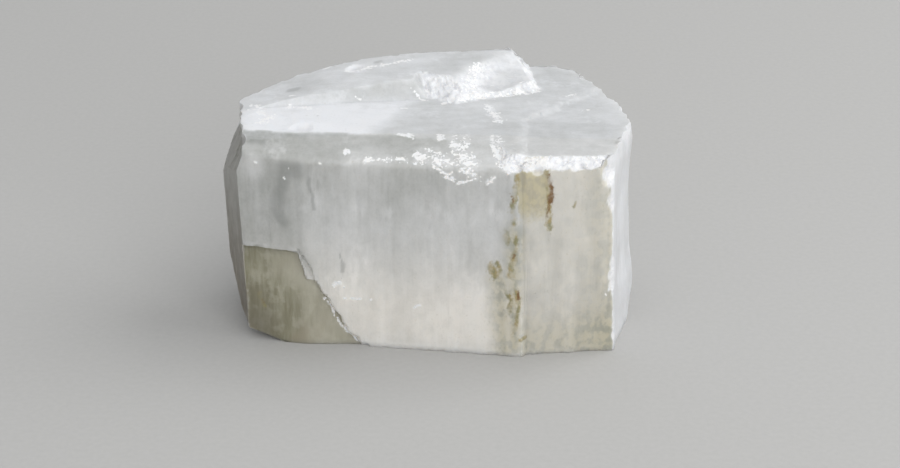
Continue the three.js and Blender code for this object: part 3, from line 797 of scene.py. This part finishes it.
# %% Work out how milky the crystal is
front_milk_and_foot_glow = (0.42 + 0.265 * eased(15.5, 4, height)
              + 0.16 * eased(8, 4, height) * eased(8, 4, x) + 0.1 * eased(-13, -6, x))
front_milk_and_foot_glow = front_milk_and_foot_glow + 0.3 * eased(1.6, 0.3, np.hypot(x + 15.3, 0.8 * (height - 16.8)))
front_milk_and_foot_glow = front_milk_and_foot_glow - 0.06 * eased(-13, -15.5, x)
front_milk_and_foot_glow = front_milk_and_foot_glow - 0.1 * eased(-9.5, -13, x) * eased(13.5, 10, height)
# The front is lighter near the foot: a painted glow along its bottom edge.
front_milk_and_foot_glow = np.where(x > 7.9, 0.72, front_milk_and_foot_glow) + 0.25 * eased(0.9, 0.1, height)
band_milk = 0.44 + 0.14 * eased(-4, 2, x) - 0.12 * eased(0.6, 0, bevel)
cloudy = eased(-4.2, -6.8, x - 0.55 * (y + 6.3)) * eased(2.6, 1.4, y - 0.2 * x)
top_milk = 0.62 + 0.06 * eased(2, -4, x) + 0.3 * cloudy - 0.14 * dark_facet * eased(-12, -7, x)
milk = np.where(is_wall, front_milk_and_foot_glow, np.where(bevel > 0, band_milk, top_milk))
milk = np.select([on_right, on_left, on_back], [0.84, 0.2, 0.45 + 0.25 * eased(3, 16, height)], milk)
print("milkiness runs from", milk.min().round(2), "to", milk.max().round(2))

# %% Gather all masks
behind = points * [1, 0, 1]
back_stain = eased(0.1, 0.6, noise(behind, (4, 1, 5), 31, 3) + 0.5 * eased(7, 1, height))
side_stain = 0.24 + 0.26 * eased(11, 16, x) + 0.34 * eased(6, 1, height)
# Sharp edges are whitened: partly real wear, partly painted rim light.
worn_and_rim_lit = np.clip(1.8 * spread(edge_sharpness(), 1) - 0.3, 0, 1) * (1 - blunt)
masks = {
    "milk": spread(milk, 1),
    "flake": flake,
    "crushed": np.clip(spread(crushed, 1) + bruised, 0, 1),
    "worn_and_rim_lit": worn_and_rim_lit,
    "upright": spread(1.0 * is_wall, 2),
    # the left end: a brown tint and painted shade of the side away from the lamps, more of it towards the
    # foot
    "brown_and_painted_shade": on_left * (0.38 + 0.56 * eased(15, 4, height)),
    "warm": faces_front * np.maximum(0.25 + 0.75 * eased(13, 3, height), 0.9 * on_right_front),
    # painted shade and painted light on the flake's floor: darker at the left end and the lower left
    # corner, lighter to the right and at the top
    "shade": (0.35 * eased(-13, -16, x) - 0.5 * eased(-14, -9.5, x) - 0.35 * eased(4.5, 6.5, height)
              + 0.4 * eased(4.5, 1.0, height) * eased(-11.5, -14.5, x)),
    "beige": np.maximum(np.maximum(beige, on_back * 0.3 * back_stain), on_right_front * side_stain),
    "rust": rust, "ochre": ochre, "patch": patch, "gold": gold,
    **marked,
}
print({name: round(float(mask.mean()), 3) for name, mask in masks.items()})

# %% [markdown]
# ## The mesh
#
# The arrays go into one mesh: four-sided cells for the walls and the top, and one many-sided face for
# the flat underside. Edges where the surface turns by more than eighteen degrees are marked sharp, so
# that cleavage edges stay crisp while the ribs stay smooth.

# %% Make the mesh
low, high = points.min(axis=0), points.max(axis=0)
shift = np.array([*((np.array(middle) / MM)[:2] - ((low + high) / 2)[:2]), 0])
placed = (points + shift) * MM

mesh = bpy.data.meshes.new("beryllonite_block")
mesh.from_pydata(placed.tolist(), [], cells.tolist() + [foot[::-1].tolist()])
mesh.update()
for name, mask in masks.items():
    mesh.attributes.new(name, "FLOAT", "POINT").data.foreach_set("value", mask.astype(np.float32))
mesh.shade_smooth()
mesh.set_sharp_from_angle(angle=np.radians(18))

block = bpy.data.objects.new("beryllonite_block", mesh)
bpy.context.scene.collection.objects.link(block)
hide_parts("crystal")
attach(block, "root")
print("the mesh has", sum(len(p.vertices) - 2 for p in mesh.polygons), "triangles")

# %% [markdown]
# ## Beryllonite
#
# The real mineral is a sodium beryllium phosphate with an index of refraction of 1.55. Clear parts
# look grey, because they show the shade inside; parts that are full of tiny cracks scatter light and
# look white. So one shader has some clear transmission with a faint absorption, some scattering under
# the surface, and a base colour that goes from grey to milk white, with growth lines drawn upwards,
# white bruises, an olive tint where the flake is gone and rusty iron stain along one edge. Light and
# shade are painted into that colour as well: shade on the left end and the flake's floor, a glow along
# the foot, bright rims on the edges and white glints. A painted texture could hold all this too, but
# nodes stay sharp at any distance.

# %% Colours and nodes
def linear(code):
    """A hex sRGB colour as the four linear numbers that Blender's sockets take. A channel is divided
    by 12.92 if it is dark, and otherwise raised by 0.055, divided by 1.055 and taken to the 2.4."""
    srgb = np.array([int(code[k:k + 2], 16) / 255 for k in (1, 3, 5)])
    return (*np.where(srgb <= 0.04045, srgb / 12.92, ((srgb + 0.055) / 1.055) ** 2.4), 1.0)


def new_material(name):
    """An empty material and a function that adds a node to it. The function sets the node's settings,
    fills its inputs, which are given in order or by name or number, and gives back one output. An
    input that is another node's output is linked, and anything else is a value."""
    material = bpy.data.materials.new(name)
    material.use_nodes = True
    tree = material.node_tree
    tree.nodes.clear()

    def add(kind, inputs=(), out=0, **settings):
        made = tree.nodes.new("ShaderNode" + kind)
        for key, value in settings.items():
            setattr(made, key, value)
        for key, value in inputs.items() if isinstance(inputs, dict) else enumerate(inputs):
            if isinstance(value, bpy.types.NodeSocket):
                tree.links.new(value, made.inputs[key])
            else:
                made.inputs[key].default_value = value
        return made.outputs[out] if made.outputs else None

    return material, add


TIMES, LARGER = {"operation": "MULTIPLY"}, {"operation": "MAXIMUM"}
SMOOTH = {"interpolation_type": "SMOOTHSTEP"}  # value, low, high, and what they become
COLOUR = {"data_type": "RGBA", "out": 2}  # 0 is the share, 6 lies under and 7 over
print("milk white in linear light:", np.round(linear("#eff0f3"), 3))

# %% Patterns of the crystal
# Beryllonite, grown as a prism and then split. That gives the eye fine upright lines on glassy faces,
# white clouds of tiny cracks inside, and a silky grain where it split.
crystal_material, add = new_material("beryllonite_milky_crystal")
nodes = crystal_material.node_tree.nodes
at = add("TexCoord", out="Object")
mask = {name: add("Attribute", attribute_name=name, out="Fac") for name in masks}


def pattern(width, tall, detail=3, kind="Noise", out=0, depth=None):
    """A texture over the crystal with features of this width and depth and this tall, in mm."""
    scale = tuple(1 / (extent * MM) for extent in (width, depth or width, tall))
    scaled = add("Mapping", {"Vector": at, "Scale": scale})
    return add("Tex" + kind, {"Vector": scaled, "Scale": 1.0, "Detail": detail}, out)


def summed(total, *terms):
    """The total plus each term times its weight."""
    for term, weight in terms:
        total = add("Math", (term, weight, total), operation="MULTIPLY_ADD")
    return total


cloud = pattern(4.5, 7.0)  # veils of trapped water, some millimetres across
mottle = pattern(0.9, 1.1, 4)  # patches between cleavage cracks
grit = pattern(0.22, 0.3)  # crumbs, drawn twice as coarse as they are, so that they show
broad = pattern(1.2, 16.0, 2)  # ribs of growth
layers = pattern(2.4, 0.7, 4, depth=0.7)  # cleavage layers that come out on the top
# Growth lines are really about 0.05 mm wide, and are drawn wider, so that they show.
streak = add("Math", (pattern(0.34, 4.5), mask["upright"]), **TIMES)
fine = add("Math", (pattern(0.16, 2.2, 2), mask["upright"]), **TIMES)
print(len(nodes), "nodes hold the masks and patterns")

# %% From grey and clear to milky
lines = summed(add("MapRange", (streak, 0.3, 0.7), **SMOOTH), (mask["upright"], -1.0))
wide = add("MapRange", (pattern(2.4, 5.0, 2), 0.38, 0.62, 0.01, 0.07), **SMOOTH)
on_top = summed(1.0, (mask["upright"], -1.0))
split = add("MapRange", (layers, 0.35, 0.65, -0.035, 0.035), **SMOOTH)
veil = add("MapRange", (pattern(2.6, 4.0, 2), 0.5, 0.72), **SMOOTH)
wisp = add("Math", (veil, add("MapRange", (pattern(0.5, 1.6, 5), 0.4, 0.66), **SMOOTH)), **TIMES)
milky = summed(mask["milk"], (lines, wide), (on_top, split), (wisp, 0.16))
for shape, low, high, least, most in (
        (cloud, 0.3, 0.7, -0.08, 0.08), (mottle, 0.3, 0.7, -0.04, 0.045),
        (broad, 0.35, 0.65, -0.025, 0.035), (grit, 0.3, 0.7, -0.04, 0.04)):
    milky = summed(milky, (add("MapRange", (shape, low, high, least, most), **SMOOTH), 1.0))
milk_white = add("Mix", {0: mask["warm"], 6: linear("#eff0f3"), 7: linear("#f3efe8")}, **COLOUR)
body = add("Mix", {0: milky, 6: linear("#8c8e87"), 7: milk_white}, **COLOUR)
print(len(nodes), "nodes with the milk")


# %% Mix the tints of the flake's floor, with its painted shade and light, and of the stains
def tinted(under, over, shape, low=0.3, high=0.7, most=1.0):
    """A colour with another laid over it, as much as this pattern has risen from low to high."""
    share = add("MapRange", (shape, low, high, 0.0, most), **SMOOTH)
    return add("Mix", {0: share, 6: under, 7: linear(over)}, **COLOUR)


# The flake's floor is olive, darker than the milk partly as painted shade; the shade mask then paints
# shade and light over it.
olive = tinted(linear("#87836c"), "#9f9c88", pattern(0.4, 5.0))
olive = tinted(olive, "#968c77", cloud, 0.42, 0.6, 0.7)
olive = tinted(olive, "#b9b6a6", mottle, 0.48, 0.66, 0.45)
olive = add("Mix", {0: mask["shade"], 6: olive, 7: linear("#655f4e")}, **COLOUR)
olive = tinted(olive, "#bfbbab", mask["shade"], 0.0, -0.8, 0.9)
moss = pattern(0.7, 0.9, 4)
mossy = tinted(linear("#c0b99d"), "#959580", moss, 0.42, 0.6)
straw = tinted(linear("#bdb078"), "#a2966a", moss, 0.42, 0.6)
# dark brown for the left end: partly its own tint, partly painted shade
clay_and_painted_shade = tinted(linear("#57492f"), "#6f6145", streak, 0.35, 0.65)
iron = tinted(linear("#a5935a"), "#8b8658", pattern(0.5, 0.6), 0.42, 0.58)
patchy = add("MapRange", (mottle, 0.4, 0.62, 0.15, 0.8), **SMOOTH)
print(len(nodes), "nodes with the tints")

# %% Lay the stains over the milk
uneven = summed(-0.5, (grit, 1.0))


def near(name, ragged, low, high):
    """Where a mask is high: the mask plus some grit, eased from low to high, so its edge is ragged."""
    return add("MapRange", (summed(mask[name], (uneven, ragged)), low, high), **SMOOTH)


# Brown over the left end: partly its own tint, partly painted shade.
share = add("Math", (mask["brown_and_painted_shade"], 0.9), **TIMES)
body = add("Mix", {0: share, 6: body, 7: clay_and_painted_shade}, **COLOUR)
STAINS = [  # mask, how ragged, where it starts and is full, its strength, and its colour
    ("flake", 0.2, 0.2, 0.32, 1.0, olive),
    ("beige", 0.4, 0.0, 1.0, 0.76, mossy),
    ("patch", 0.6, 0.2, 0.9, 0.55, straw),
    ("gold", 0.8, 0.2, 0.9, 0.7, linear("#b5a655")),
    # grey cracks, and painted shade in the crown's hollow
    ("crack_and_painted_shade", 0.9, 0.0, 0.8, 0.34, linear("#6f726f")),
    ("ochre", 1.2, 0.1, 0.8, summed(0.05, (patchy, 1.0)), iron),
    ("rust", 1.0, 0.2, 0.8, summed(0.2, (patchy, 1.0)), linear("#7d592c")),
]
for name, ragged, low, high, strength, colour in STAINS:
    share = add("Math", (near(name, ragged, low, high), strength), **TIMES)
    body = add("Mix", {0: share, 6: body, 7: colour}, **COLOUR)
print(len(STAINS), "stains are laid over the milk")


# %% Whiten what is crushed or worn, with painted rim light on the edges, and strew it with painted glints
def specks(width, tall, rarity):
    """White crumbs with painted sparkle highlights: cells of a Voronoi pattern, each of which shows where
    its own random number, the sparkle mask and some grit add up to more than the rarity."""
    few = add("SeparateColor", {0: pattern(width, tall, 0, "Voronoi", "Color")})
    total = summed(few, (mask["sparkle"], 0.9), (grit, 0.8))
    return add("MapRange", (total, rarity, rarity + 0.08), **SMOOTH)


speck = add("Math", (specks(0.22, 0.15, 1.7), specks(0.5, 0.26, 1.96)), **LARGER)
# Worn edges whiten in patches, partly as wear and partly as painted rim light, and so does what is
# crushed.
scuffed_and_rim_lit = add("Math", (mask["worn_and_rim_lit"], patchy), **TIMES)
crumbled = add("Math", (add("Math", (mask["crushed"], scuffed_and_rim_lit), **LARGER), 0.9), **TIMES)
frosted = add("Math", (near("sparkle", 0.5, 0.2, 1.3), 0.35), **TIMES)
white = add("Math", (crumbled, frosted), **LARGER)
# Glints are painted highlights: pure white, and glossier below.
shining = add("Math", (near("glint", 1.4, 0.3, 0.7), 0.9), **TIMES)
glints = add("Math", (speck, shining), **LARGER)
crumb = add("SeparateColor", {0: pattern(0.3, 0.22, 0, "Voronoi", "Color")}, 1)
body = add("Mix", {0: white, 6: body, 7: tinted(linear("#eaebef"), "#fdfdff", crumb, 0.1)}, **COLOUR)
body = add("Mix", {0: glints, 6: body, 7: linear("#ffffff")}, **COLOUR)
print(len(nodes), "nodes with the crumbs and glints")

# %% Give it its gloss, its grain and its depth
# Upright growth faces are glassy. The split top is silkier, and crushed parts are dull.
rough = add("MapRange", (mottle, 0.35, 0.7, 0.44, 0.56), **SMOOTH)
rough = summed(rough, (white, 0.12), (mask["upright"], -0.16), (glints, -0.15))
crunched = add("Math", (grit, white), **TIMES)
relief = summed(0.0, (streak, 0.5), (fine, 0.15), (crunched, 0.8), (speck, 0.8))
bump = add("Bump", {"Height": relief, "Strength": 0.35, "Distance": 0.08 * MM})

shader = add("BsdfPrincipled", {
    "Base Color": body,
    "Roughness": rough,
    "Normal": bump,
    "IOR": 1.553,
    "Transmission Weight": 0.3,
    "Subsurface Weight": 0.8,
    "Subsurface Radius": (1.0, 0.95, 0.9),
    "Subsurface Scale": 1.8 * MM,
})
inside = add("VolumeAbsorption", {"Color": linear("#dfe3da"), "Density": 12.0})
add("OutputMaterial", {"Surface": shader, "Volume": inside})
mesh.materials.append(crystal_material)
print(crystal_material.name, "has", len(nodes), "nodes")

# %% [markdown]
# ## The studio
#
# A large, soft lamp from the right, rather high and a little behind, makes the top bright, draws the
# edges and throws a soft shadow to the left. A second one stands lower at the right front and keeps
# the broad face readable, and a pale surrounding fills the rest. The floor is a plain pale sheet.

# %% Lay the floor
FLOOR_HALF = 1.5  # metres, so that the sheet's edge stays out of sight
floor_mesh = bpy.data.meshes.new("floor")
corners = [(-1, -1), (1, -1), (1, 1), (-1, 1)]
floor_mesh.from_pydata([(FLOOR_HALF * x, FLOOR_HALF * y, 0) for x, y in corners], [], [(0, 1, 2, 3)])
floor = bpy.data.objects.new("floor", floor_mesh)
bpy.context.scene.collection.objects.link(floor)
# Matt paper: rough enough to show no reflection, with fibre clouds of half a millimetre.
floor_material, add = new_material("pale_paper")
fibre = add("TexNoise", {"Vector": add("TexCoord", out="Object"), "Scale": 1 / (0.5 * MM), "Detail": 2})
sheet = add("Mix", {0: fibre, 6: linear("#a3a2a0"), 7: linear("#abaaa8")}, **COLOUR)
add("OutputMaterial", {"Surface": add("BsdfPrincipled", {"Base Color": sheet, "Roughness": 0.85})})
floor_mesh.materials.append(floor_material)
print("the floor is", 2 * FLOOR_HALF, "m wide")


# %% Light it
def lamp(name, azimuth, elevation, distance, width, power):
    """A square soft lamp that looks at the crystal. Azimuth is in degrees from +X towards +Y, and X, Y
    and Z are the distance times cos azimuth cos elevation, sin azimuth cos elevation, sin elevation."""
    turn, lift = np.radians([azimuth, elevation])
    data = bpy.data.lights.new(name, "AREA")
    data.size = width
    data.energy = power
    made = bpy.data.objects.new(name, data)
    bpy.context.scene.collection.objects.link(made)
    centre = Vector((middle.x, middle.y, middle.z))
    towards = Vector((np.cos(turn) * np.cos(lift), np.sin(turn) * np.cos(lift), np.sin(lift)))
    made.location = centre + distance * towards
    made.rotation_euler = (centre - made.location).to_track_quat("-Z", "Y").to_euler()
    return made


lamps = [lamp("key", 10, 47, 0.45, 0.34, 1.12), lamp("fill", -70, 25, 0.6, 0.5, 2.6)]

world = bpy.data.worlds.new("studio")
bpy.context.scene.world = world
world.use_nodes = True
surrounding = world.node_tree.nodes["Background"].inputs
surrounding["Color"].default_value = linear("#f4f6f8")
surrounding["Strength"].default_value = 0.75
bpy.context.scene.view_settings.view_transform = "Standard"
print("watts:", {light.name: round(light.data.energy, 2) for light in lamps})

# %% Print the CAD box and finish
bpy.context.view_layer.update()
print("CAD box  ", [round(v / MM, 2) for v in (*cad_low, *cad_high)])
